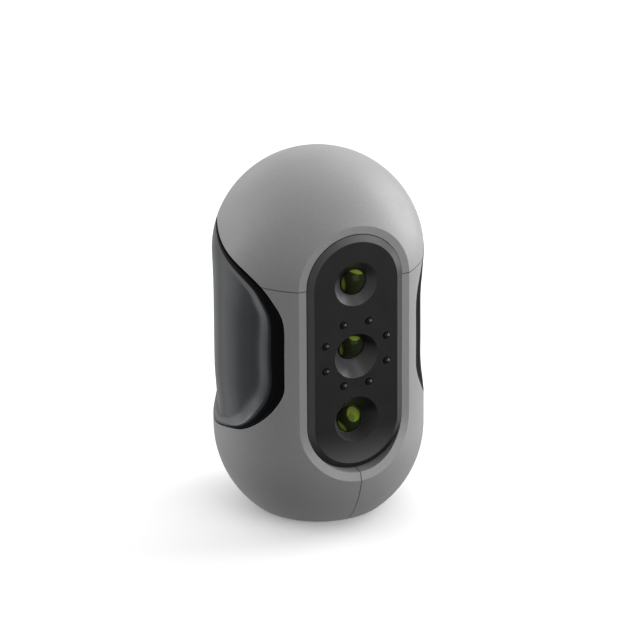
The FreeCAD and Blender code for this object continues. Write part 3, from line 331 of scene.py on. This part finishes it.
SLOT = {
    "top_cap": casing, "left_shell": casing, "right_shell": casing, "base_plate": black_plastic,
    "window_plate": window_black, "window_gasket": gasket_rubber, "marker_leds": lamp_dark,
    "control_panel": panel_black, "status_ring": light_guide, "scan_button": button_soft,
    "plus_button": button_soft, "minus_button": button_soft, "foot_ring": foot_rubber,
    "tripod_insert": brass, "board_standoffs": brass, "optical_frame": aluminium,
    "projector_heatsink": aluminium, "pattern_slide": slide_glass, "usb_connector": steel,
    "left_grip": grip_slate, "right_grip": grip_slate,
    "scan_plunger": black_plastic, "plus_plunger": black_plastic,
    "minus_plunger": black_plastic, "tact_switches": black_plastic,
    "processor_chip": chip, "memory_chips": chip, "board_parts": chip,
}
for name, obj in nodes.items():
    if name in SLOT:
        shader = SLOT[name]
    elif name.endswith("_screws"):
        shader = steel
    elif name.endswith("_flex"):
        shader = flex
    elif name.endswith("_board") or name == "projector_led":
        shader = board
    elif name.endswith("_barrel"):
        shader = black_metal
    elif name.endswith("_sensor"):
        shader = slide_glass
    else:
        shader = black_plastic
    obj.data.materials.clear()
    obj.data.materials.append(shader.mat)


# ---------------------------------------------------------------- mesh helpers
def mesh_piece(name, verts, faces, shader, body, matrix=None, sharp=None, weld=2e-7,
               second=None):
    """second is (shader, count): the first count faces wear that shader."""
    me = bpy.data.meshes.new(name)
    me.from_pydata([tuple(v) for v in verts], [], faces)
    if second:
        for poly in me.polygons[:second[1]]:
            poly.material_index = 1
    me.validate()
    bm = bmesh.new()
    bm.from_mesh(me)
    bmesh.ops.remove_doubles(bm, verts=bm.verts, dist=weld)
    bmesh.ops.dissolve_degenerate(bm, edges=bm.edges, dist=1e-7)
    bmesh.ops.recalc_face_normals(bm, faces=bm.faces)
    for f in bm.faces:
        f.smooth = True
    if sharp is not None:
        for e in bm.edges:
            if len(e.link_faces) == 2 and e.calc_face_angle(0.0) > sharp:
                e.smooth = False
    bm.to_mesh(me)
    bm.free()
    o = bpy.data.objects.new(name, me)
    scene.collection.objects.link(o)
    if matrix is not None:
        o.matrix_world = matrix
    o.data.materials.append(shader.mat)
    if second:
        o.data.materials.append(second[0].mat)
    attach(o, body)
    return o


def revolve(profile, segments=96):
    """Closed solid of revolution about Z from (radius, height) points in metres."""
    verts, faces, rows = [], [], []
    for r, z in profile:
        if r < 1e-9:
            rows.append([len(verts)])
            verts.append((0.0, 0.0, z))
        else:
            rows.append(list(range(len(verts), len(verts) + segments)))
            for k in range(segments):
                a = 2 * math.pi * k / segments
                verts.append((r * math.cos(a), r * math.sin(a), z))
    for a, b in zip(rows, rows[1:]):
        for k in range(segments):
            k2 = (k + 1) % segments
            if len(a) == 1 and len(b) > 1:
                faces.append((a[0], b[k], b[k2]))
            elif len(b) == 1 and len(a) > 1:
                faces.append((a[k], a[k2], b[0]))
            elif len(a) > 1:
                faces.append((a[k], a[k2], b[k2], b[k]))
    return verts, faces


def closed_curve(points, count):
    """Smooth closed curve through the points (cubic, chord-length parameter)."""
    p = np.array(points, float)
    n = len(p)
    h = np.linalg.norm(np.roll(p, -1, 0) - p, axis=1)
    a = np.zeros((n, n))
    rhs = np.zeros((n, 2))
    for i in range(n):
        j, k = (i - 1) % n, (i + 1) % n
        a[i, j] += h[j]
        a[i, i] += 2 * (h[j] + h[i])
        a[i, k] += h[i]
        rhs[i] = 6 * ((p[k] - p[i]) / h[i] - (p[i] - p[j]) / h[j])
    m = np.linalg.solve(a, rhs)
    t = np.concatenate([[0.0], np.cumsum(h)])
    u = np.linspace(0.0, t[-1], count, endpoint=False)
    out = []
    for x in u:
        i = min(n - 1, int(np.searchsorted(t, x, side="right")) - 1)
        k = (i + 1) % n
        w1, w2 = t[i + 1] - x, x - t[i]
        out.append(m[i] * w1 ** 3 / (6 * h[i]) + m[k] * w2 ** 3 / (6 * h[i])
                   + (p[i] / h[i] - m[i] * h[i] / 6) * w1
                   + (p[k] / h[i] - m[k] * h[i] / 6) * w2)
    return np.array(out), u, t


def step(x, lo, hi):
    t = np.clip((x - lo) / (hi - lo), 0.0, 1.0)
    return t * t * (3 - 2 * t)


# ---------------------------------------------------------------- grips
# outline in (forward, up), mm, with the width of the rim and of the hollow's wall there
GRIP = [(25.7, 54.0, 3.4, 8.6), (25.7, 60.8, 3.4, 8.6), (25.7, 67.5, 3.4, 8.6),
        (25.7, 74.3, 3.4, 8.0), (25.1, 78.8, 3.3, 7.2), (22.7, 84.0, 3.1, 5.8),
        (20.1, 87.7, 3.0, 4.6), (14.6, 91.6, 2.7, 3.4), (6.9, 94.5, 2.4, 2.6),
        (-2.2, 97.6, 2.1, 2.2), (-8.0, 99.5, 1.8, 2.2), (-14.0, 100.2, 1.5, 2.6),
        (-19.6, 98.6, 1.2, 4.0), (-23.6, 94.0, 1.2, 5.0), (-25.4, 87.0, 1.3, 6.0),
        (-25.7, 78.0, 1.4, 6.0), (-25.7, 65.0, 1.4, 6.0), (-25.7, 52.0, 1.3, 6.0),
        (-25.4, 42.0, 1.0, 4.6), (-23.6, 35.2, 0.8, 3.4), (-19.4, 31.2, 0.6, 2.8),
        (-12.5, 29.8, 0.5, 2.5), (-4.6, 30.6, 0.5, 2.9), (4.6, 33.0, 0.6, 4.0),
        (11.4, 34.9, 1.0, 5.4), (16.6, 38.0, 1.7, 6.8), (21.0, 42.4, 2.6, 8.0),
        (24.5, 48.5, 3.2, 8.6)]
SKIN, INNER, DOME_Z = 35.0, 32.6, 88.2


def hollow_depth(f, z):
    """Depth of the palm hollow below the skin, mm."""
    front = 0.25 * step(f, -26.0, -8.0) + 0.75 * step(f, -8.0, 13.0)
    low = step(-z, -50.0, -32.5)
    d = 0.30 + 1.80 * (1 - (1 - front) * (1 - 0.55 * low))
    return np.minimum(d, 2.1) * (0.20 + 0.80 * step(-z, -98.0, -74.0))


# share of the hollow's depth reached across its wall: soft start, even slope, soft foot
_t = np.linspace(0.0, 1.0, 401)
_g = step(_t, 0.0, 0.18) * (1.0 - step(_t, 0.42, 1.0))
WALL = np.concatenate([[0.0], np.cumsum((_g[1:] + _g[:-1]) / 2)])
WALL /= WALL[-1]


def skin_point(f, z, r, side):
    dz = np.maximum(z - DOME_Z, 0.0)
    x = np.sqrt(np.maximum(r * r - f * f - dz * dz, 1.0))
    return np.stack([side * x, -f, z], -1) * MM


def grip(name, side):
    count = 360
    pts, u, t = closed_curve([(p[0], p[1]) for p in GRIP], count)
    rim = np.interp(u, t, [p[2] for p in GRIP] + [GRIP[0][2]])
    wall = np.interp(u, t, [p[3] for p in GRIP] + [GRIP[0][3]])
    for _ in range(30):
        rim = (np.roll(rim, 1) + 2 * rim + np.roll(rim, -1)) / 4
        wall = (np.roll(wall, 1) + 2 * wall + np.roll(wall, -1)) / 4
    target = np.stack([pts[:, 0] * 0.10, np.clip(pts[:, 1], 47.0, 80.0)], -1)
    ray = target - pts
    length = np.linalg.norm(ray, axis=1)
    ray /= length[:, None]
    tangent = np.roll(pts, -1, 0) - np.roll(pts, 1, 0)
    tangent /= np.linalg.norm(tangent, axis=1)[:, None]
    inward = np.stack([-tangent[:, 1], tangent[:, 0]], -1)
    lean = np.clip(np.abs((ray * inward).sum(1)), 0.6, 1.0)
    rows = []

    def ring(s, depth):
        p = pts + ray * (s / lean)[:, None]
        rows.append(skin_point(p[:, 0], p[:, 1], SKIN - depth, side))

    one = np.ones(count)
    # shadow gap round the grip, widest along the curve at its top
    gap = 0.10 + 0.65 * step(pts[:, 1], 76.0, 88.0) * step(pts[:, 0], -24.0, -18.0)
    ring(0.0 * one, 1.0 * one)
    ring(0.5 * gap, 0.95 * one)
    for s, d in ((0.0, 0.9), (0.0, 0.5), (0.0, 0.28), (0.02, 0.19), (0.06, 0.11),
                 (0.11, 0.06), (0.18, 0.03), (0.26, 0.02)):
        ring(gap + s, d * one)
    for tau in (0.14, 0.22, 0.30, 0.38, 0.44, 0.48, 0.505, 0.525, 0.545, 0.56, 0.575, 0.59,
                0.61, 0.635, 0.67, 0.72, 0.80, 0.88, 0.95):
        s = np.maximum(rim * tau, gap + 0.27 + 0.05 * tau)
        # first face falls slowly, then a fine raised line, then the second face
        big = step(rim, 0.7, 2.2)
        first = 0.02 + 0.10 * tau / 0.5
        crest = 0.16 * step(np.abs(tau - 0.56) * np.ones(count), 0.0, 0.075)
        second = 0.01 + 0.16 * max(0.0, tau - 0.56) / 0.44
        face = first if tau < 0.56 else second
        ring(s, big * np.minimum(face, crest) + (1 - big) * 0.03)
    rim_rows = len(rows)
    for tau in np.concatenate([np.linspace(0.0, 0.5, 26), np.linspace(0.54, 1.0, 12)]):
        s = np.maximum(rim, gap + 0.35) + wall * tau
        p = pts + ray * (s / lean)[:, None]
        fall = float(np.interp(tau, _t, WALL))
        big = step(rim, 0.7, 2.2)
        base = big * 0.17 + (1 - big) * 0.03
        d = hollow_depth(p[:, 0], p[:, 1])
        depth = base * (1 - fall) + d * fall
        rows.append(skin_point(p[:, 0], p[:, 1], SKIN - depth, side))
    s_end = (np.maximum(rim, gap + 0.35) + wall) / lean
    for tau in np.linspace(0.0, 1.0, 16)[1:]:
        p = pts + ray * (s_end + (length - s_end) * tau)[:, None]
        rows.append(skin_point(p[:, 0], p[:, 1], SKIN - hollow_depth(p[:, 0], p[:, 1]), side))
    # from the middle strip the surface closes on its centre point
    centre = np.array([0.0, 63.5])
    for k in (0.8, 0.6, 0.4, 0.2, 0.05):
        p = centre + (target - centre) * k
        rows.append(skin_point(p[:, 0], p[:, 1], SKIN - hollow_depth(p[:, 0], p[:, 1]), side))
    inner = []
    for tau in (0.0, 0.12, 0.3, 0.5, 0.7, 0.85, 1.0):
        p = pts + ray * (length * tau)[:, None]
        inner.append(skin_point(p[:, 0], p[:, 1], INNER, side))
    for k in (0.6, 0.3, 0.05):
        p = centre + (target - centre) * k
        inner.append(skin_point(p[:, 0], p[:, 1], INNER, side))
    hub = centre[None, :]
    d = hollow_depth(hub[:, 0], hub[:, 1])
    verts = [v for row in rows for v in row] + [v for row in inner for v in row]
    hubs = (len(verts), len(verts) + 1)
    verts.append(skin_point(hub[:, 0], hub[:, 1], SKIN - d, side)[0])
    verts.append(skin_point(hub[:, 0], hub[:, 1], INNER, side)[0])
    faces = []
    for base, n_rows, mid in ((0, len(rows), hubs[0]), (len(rows) * count, len(inner), hubs[1])):
        for i in range(n_rows - 1):
            for k in range(count):
                k2 = (k + 1) % count
                a = base + i * count
                faces.append((a + k, a + k2, a + count + k2, a + count + k))
        a = base + (n_rows - 1) * count
        for k in range(count):
            faces.append((a + k, a + (k + 1) % count, mid))
    a, b = 0, len(rows) * count
    for k in range(count):
        k2 = (k + 1) % count
        faces.append((a + k, a + k2, b + k2, b + k))
    return mesh_piece(name, verts, faces, grip_slate, "housing",
                      second=(grip_rim, rim_rows * count))


left = grip("left_grip_skin", -1)
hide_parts("left_grip")
right_g = grip("right_grip_skin", 1)
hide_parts("right_grip")


# ---------------------------------------------------------------- crisp-edged skins
def crisp(name, node, shader, angle=24.0):
    """The node's own faces as one welded mesh: smooth curves, sharp edges, flat flats."""
    me = nodes[node].data
    o = mesh_piece(name, [v.co.copy() for v in me.vertices],
                   [tuple(p.vertices) for p in me.polygons], shader, "housing",
                   sharp=math.radians(angle), weld=1e-6)
    m = o.modifiers.new("flats", "WEIGHTED_NORMAL")
    m.keep_sharp = True
    m.mode = "FACE_AREA_WITH_ANGLE"
    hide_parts(node)
    return o


crisp("window_plate_skin", "window_plate", window_black)


# ---------------------------------------------------------------- lenses
def lens_shader(name, top_dir, top_lo, top_curve, extra, side_dir, side_lo, side_gain):
    """Dark coated glass with painted reflections: yellow-green patches of painted reflection in
    zones fixed to the lens, and the dark glass grows lighter and greener towards +x. p = (x, y) of
    the lens in units of its radius."""
    s = Shader(name)
    sep = s.add("ShaderNodeSeparateXYZ", {"Vector": s.coord})
    x = s.math("DIVIDE", sep.outputs[0], 4.35 * MM)
    y = s.math("DIVIDE", sep.outputs[1], 4.35 * MM)

    def zone(direction, lo, curve, soft=0.05):
        c, d = math.cos(math.radians(direction)), math.sin(math.radians(direction))
        along = s.math("ADD", s.math("MULTIPLY", x, c), s.math("MULTIPLY", y, d))
        across = s.math("SUBTRACT", s.math("MULTIPLY", y, c), s.math("MULTIPLY", x, d))
        cut = s.math("SUBTRACT", along, s.math("MULTIPLY", s.math("MULTIPLY", across, across),
                                               curve))
        return s.remap(cut, lo - soft, lo + soft, 0.0, 1.0, "SMOOTHSTEP"), across

    # painted reflection: a yellow-green patch at the top edge (where extra is given, a disc with a
    # dimmer notch instead), and a second patch on the side
    top, across = zone(top_dir, top_lo, top_curve)
    if extra:
        cx, cy, r = extra
        dx, dy = s.math("SUBTRACT", x, cx), s.math("SUBTRACT", y, cy)
        dist = s.math("SQRT", s.math("ADD", s.math("MULTIPLY", dx, dx),
                                     s.math("MULTIPLY", dy, dy)))
        disc = s.remap(dist, r + 0.05, r - 0.05, 0.0, 1.0, "SMOOTHSTEP")
        notch = s.math("SQRT", s.math("ADD",
                                      s.math("POWER", s.math("ADD", dx, 0.30), 2.0),
                                      s.math("POWER", s.math("ADD", dy, 0.22), 2.0)))
        top = s.math("MULTIPLY", disc, s.remap(notch, r * 0.35, r * 0.75, 0.45, 1.0,
                                               "SMOOTHSTEP"))
    painted_side_reflection_mask, _ = zone(side_dir, side_lo, 0.15, 0.08)
    rr = s.math("SQRT", s.math("ADD", s.math("MULTIPLY", x, x), s.math("MULTIPLY", y, y)))
    inside = s.remap(rr, 0.99, 0.93, 0.0, 1.0, "SMOOTHSTEP")
    haze = s.noise(420.0, 4.0, 0.6)
    glass = s.mix(s.remap(x, -0.9, 0.9, 0.0, 1.0), (0.0075, 0.0075, 0.0035),
                  (0.0155, 0.024, 0.0095))
    glass = s.mix(s.remap(haze, 0.35, 0.7, 0.0, 0.5), glass, (0.022, 0.026, 0.012))
    painted_reflection_colour = s.mix(s.remap(across, -0.6, 0.6, 0.0, 1.0), (0.13, 0.24, 0.018), (0.22, 0.24, 0.038))
    painted_reflection_colour = s.mix(s.remap(haze, 0.3, 0.7, 0.0, 0.6), painted_reflection_colour, (0.10, 0.15, 0.025))
    painted_side_reflection_colour = s.mix(s.remap(haze, 0.3, 0.7, 0.0, 0.6), (0.16, 0.20, 0.03), (0.10, 0.12, 0.025))
    c = s.mix(s.math("MULTIPLY", s.math("MULTIPLY", painted_side_reflection_mask, side_gain), inside), glass,
              painted_side_reflection_colour)
    c = s.mix(s.math("MULTIPLY", top, inside), c, painted_reflection_colour)
    s.set(Base_Color=c,
          Roughness=s.remap(haze, 0.3, 0.7, 0.05, 0.10),
          Normal=s.bump(s.noise(260.0, 2.0), 0.004 * MM, 0.2))
    s.bsdf.inputs["IOR"].default_value = 1.45
    s.bsdf.inputs["Specular IOR Level"].default_value = 0.05
    s.bsdf.inputs["Specular Tint"].default_value = (0.75, 1.0, 0.45, 1.0)
    s.bsdf.inputs["Coat Weight"].default_value = 0.01
    s.bsdf.inputs["Coat Roughness"].default_value = 0.05
    return s


LENS_R, RIM_R = 5.6, 4.35
centre = -0.05 - math.sqrt(LENS_R ** 2 - RIM_R ** 2)
profile = [(0.0, -2.4), (3.2, -2.45), (4.15, -2.4), (4.38, -2.25), (4.45, -2.0), (4.45, -0.4),
           (4.44, -0.2), (4.40, -0.08)]
for i in range(30):
    a = math.asin(RIM_R / LENS_R) * (1 - i / 29.0)
    profile.append((LENS_R * math.sin(a), centre + LENS_R * math.cos(a)))
profile[-1] = (0.0, centre + LENS_R)
profile = [(r * MM, z * MM) for r, z in profile]
# look: direction, edge and bend of the painted top reflection, an optional disc of painted
# reflection, and direction, edge and strength of the painted side reflection
LENSES = [
    ("upper_camera", 27.8, 88.2, 0.0, (70.0, 0.70, 0.20, None, 183.0, 0.74, 0.8)),
    ("projector", 26.2, 64.3, -9.5, (76.0, 0.70, 0.45, None, 186.0, 0.78, 0.9)),
    ("lower_camera", 24.4, 37.65, 13.6, (50.0, 0.5, 0.2, (0.30, 0.36, 0.58), 214.0, 0.72, 0.8)),
]
for prefix, f, z, tilt, look in LENSES:
    sh = lens_shader(prefix + "_glass_painted_reflection", look[0], look[1], look[2], look[3], look[4],
                     look[5], look[6])
    m = (Matrix.Translation((0.0, -f * MM, z * MM))
         @ Matrix.Rotation(math.radians(90.0 - tilt), 4, "X"))
    v, fa = revolve(profile)
    piece = mesh_piece(prefix + "_glass", v, fa, sh, "housing", m, sharp=math.radians(50))
    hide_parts(prefix + "_lens")


# ---------------------------------------------------------------- key marks
def bar(length, width, angle):
    """Outline of a round-ended bar, counter-clockwise, mm."""
    pts = []
    for end in (1, -1):
        for k in range(9):
            a = math.radians(-90 + 180 * k / 8) + (0 if end > 0 else math.pi)
            pts.append((end * (length - width) / 2 + width / 2 * math.cos(a),
                        width / 2 * math.sin(a)))
    c, d = math.cos(angle), math.sin(angle)
    return [(x * c - y * d, x * d + y * c) for x, y in pts]


def mark(name, outlines, z, body):
    """Raised mark on a key's face, facing the rear (+Y)."""
    verts, faces = [], []
    for outline in outlines:
        n = len(outline)
        base = len(verts)
        for y, shrink in ((34.36, 1.0), (34.44, 1.0), (34.47, 0.97)):
            for px, pz in outline:
                verts.append((px * shrink * MM, y * MM, (z + pz * shrink) * MM))
        for row in (0, 1):
            for k in range(n):
                k2 = (k + 1) % n
                a = base + row * n
                faces.append((a + k, a + k2, a + n + k2, a + n + k))
        faces.append(tuple(base + k for k in range(n)))
        faces.append(tuple(base + 2 * n + k for k in reversed(range(n))))
    return mesh_piece(name, verts, faces, mark_white, body,
                      sharp=math.radians(30))


def plus_outline(length, width):
    """Outline of a plus with rounded arm ends, mm."""
    pts = []
    h, w = length / 2, width / 2
    for quarter in range(4):
        a = quarter * math.pi / 2
        local = [(w, -w)]
        for k in range(9):
            b = math.radians(-90 + 180 * k / 8)
            local.append((h - w + w * math.cos(b), w * math.sin(b)))
        c, d = math.cos(a), math.sin(a)
        pts += [(x * c - y * d, x * d + y * c) for x, y in local]
    return pts


mark("plus_mark", [plus_outline(2.7, 0.55)], 61.5, "plus_key")
mark("minus_mark", [bar(2.7, 0.55, 0.0)], 51.5, "minus_key")

# ---------------------------------------------------------------- floor, light
me = bpy.data.meshes.new("floor")
me.from_pydata([(x, y, -0.05 * MM) for x, y in ((-3, -3), (3, -3), (3, 3), (-3, 3))], [],
               [(0, 1, 2, 3)])
floor = bpy.data.objects.new("floor", me)
scene.collection.objects.link(floor)
s = Shader("floor_paper")
FLOOR_GLOW = 0.12
s.set(Base_Color=s.mix(s.noise(14.0, 3.0), (0.80, 0.80, 0.80), (0.815, 0.815, 0.815)),
      Roughness=s.remap(s.noise(300.0, 3.0), 0.3, 0.7, 0.85, 0.95),
      Normal=s.bump(s.noise(900.0, 2.0), 0.02 * MM, 0.1))
s.bsdf.inputs["Emission Color"].default_value = (1, 1, 1, 1)
s.bsdf.inputs["Emission Strength"].default_value = FLOOR_GLOW
s.bsdf.inputs["Specular IOR Level"].default_value = 0.1
floor.data.materials.append(s.mat)
floor.visible_glossy = False
floor.visible_diffuse = False

# studio surroundings: strength of the lower and upper, rear and front parts
WORLD = {"low_left": 0.57, "low_right": 0.45, "low_front": 0.19,
         "high_rear": 1.50, "high_front": 0.28, "strip": 0.5}
w = bpy.data.worlds.new("world")
scene.world = w
w.use_nodes = True
nt = w.node_tree
nt.nodes.clear()


def wn(kind, **props):
    n = nt.nodes.new(kind)
    for k, v in props.items():
        setattr(n, k, v)
    return n


def wmath(op, a, b=0.0):
    n = wn("ShaderNodeMath", operation=op)
    for i, v in enumerate((a, b)):
        if isinstance(v, bpy.types.NodeSocket):
            nt.links.new(v, n.inputs[i])
        else:
            n.inputs[i].default_value = v
    return n.outputs[0]


def wramp(value, lo, hi):
    n = wn("ShaderNodeMapRange", interpolation_type="SMOOTHSTEP")
    nt.links.new(value, n.inputs["Value"])
    n.inputs["From Min"].default_value = lo
    n.inputs["From Max"].default_value = hi
    return n.outputs["Result"]


tc = wn("ShaderNodeTexCoord")
sep = wn("ShaderNodeSeparateXYZ")
nt.links.new(tc.outputs["Generated"], sep.inputs[0])
rear = wramp(sep.outputs[1], -0.30, 0.30)
high = wramp(sep.outputs[2], -0.12, 0.12)
front, low = wmath("SUBTRACT", 1.0, rear), wmath("SUBTRACT", 1.0, high)
right_part = wramp(sep.outputs[0], -0.25, 0.25)
left_part = wmath("SUBTRACT", 1.0, right_part)
# tall soft strip low on the rear left
flat = wmath("SQRT", wmath("ADD", wmath("MULTIPLY", sep.outputs[0], sep.outputs[0]),
                           wmath("ADD", wmath("MULTIPLY", sep.outputs[1], sep.outputs[1]), 1e-6)))
aim = wmath("DIVIDE", wmath("ADD", wmath("MULTIPLY", sep.outputs[0], -0.672),
                            wmath("MULTIPLY", sep.outputs[1], 0.741)), flat)
tall = wmath("MULTIPLY", wramp(sep.outputs[2], -0.85, -0.60),
             wmath("SUBTRACT", 1.0, wramp(sep.outputs[2], 0.45, 0.70)))
total = None
for a, b, key in ((low, wmath("MULTIPLY", rear, left_part), "low_left"),
                  (low, wmath("MULTIPLY", rear, right_part), "low_right"),
                  (low, front, "low_front"), (high, rear, "high_rear"),
                  (high, front, "high_front"), (wramp(aim, 0.955, 0.985), tall, "strip")):
    part = wmath("MULTIPLY", wmath("MULTIPLY", a, b), WORLD[key])
    total = part if total is None else wmath("ADD", total, part)
glow = wn("ShaderNodeBackground")
glow.inputs[0].default_value = (1, 1, 1, 1)
nt.links.new(total, glow.inputs[1])
white = wn("ShaderNodeBackground")
white.inputs[0].default_value = (1, 1, 1, 1)
white.inputs[1].default_value = 1.0
lp = wn("ShaderNodeLightPath")
mixer = wn("ShaderNodeMixShader")
nt.links.new(lp.outputs["Is Camera Ray"], mixer.inputs[0])
nt.links.new(glow.outputs[0], mixer.inputs[1])
nt.links.new(white.outputs[0], mixer.inputs[2])
wo = wn("ShaderNodeOutputWorld")
nt.links.new(mixer.outputs[0], wo.inputs[0])
scene.view_settings.view_transform = "Standard"


def softbox(name, direction, distance, size, power, target=(0, 0, 0.06)):
    """Rectangular lamp at that distance along a direction, facing the object."""
    d = bpy.data.lights.new(name, "AREA")
    d.shape = "RECTANGLE"
    d.size, d.size_y = size
    d.energy = power
    o = bpy.data.objects.new(name, d)
    scene.collection.objects.link(o)
    v = Vector(direction).normalized()
    o.location = Vector(target) + v * distance
    o.rotation_mode = "QUATERNION"
    o.rotation_quaternion = (-v).to_track_quat("-Z", "Y")
    return o


LAMPS = [
    ("key_right_top", (0.65, 0.35, 0.68), 1.3, (1.0, 1.0), 2.4),
    ("overhead", (0.05, -0.42, 0.90), 1.3, (0.62, 0.45), 1.2),
    ("left_rear", (-0.80, 0.55, 0.22), 1.3, (0.6, 1.0), 4.0),
    ("right_side", (0.93, 0.05, 0.20), 1.4, (0.9, 1.4), 22.0),
    ("front_right", (0.50, -0.84, 0.22), 1.5, (1.3, 1.0), 18.0),
]
for lamp in LAMPS:
    if lamp[4] > 0:
        softbox(*lamp)
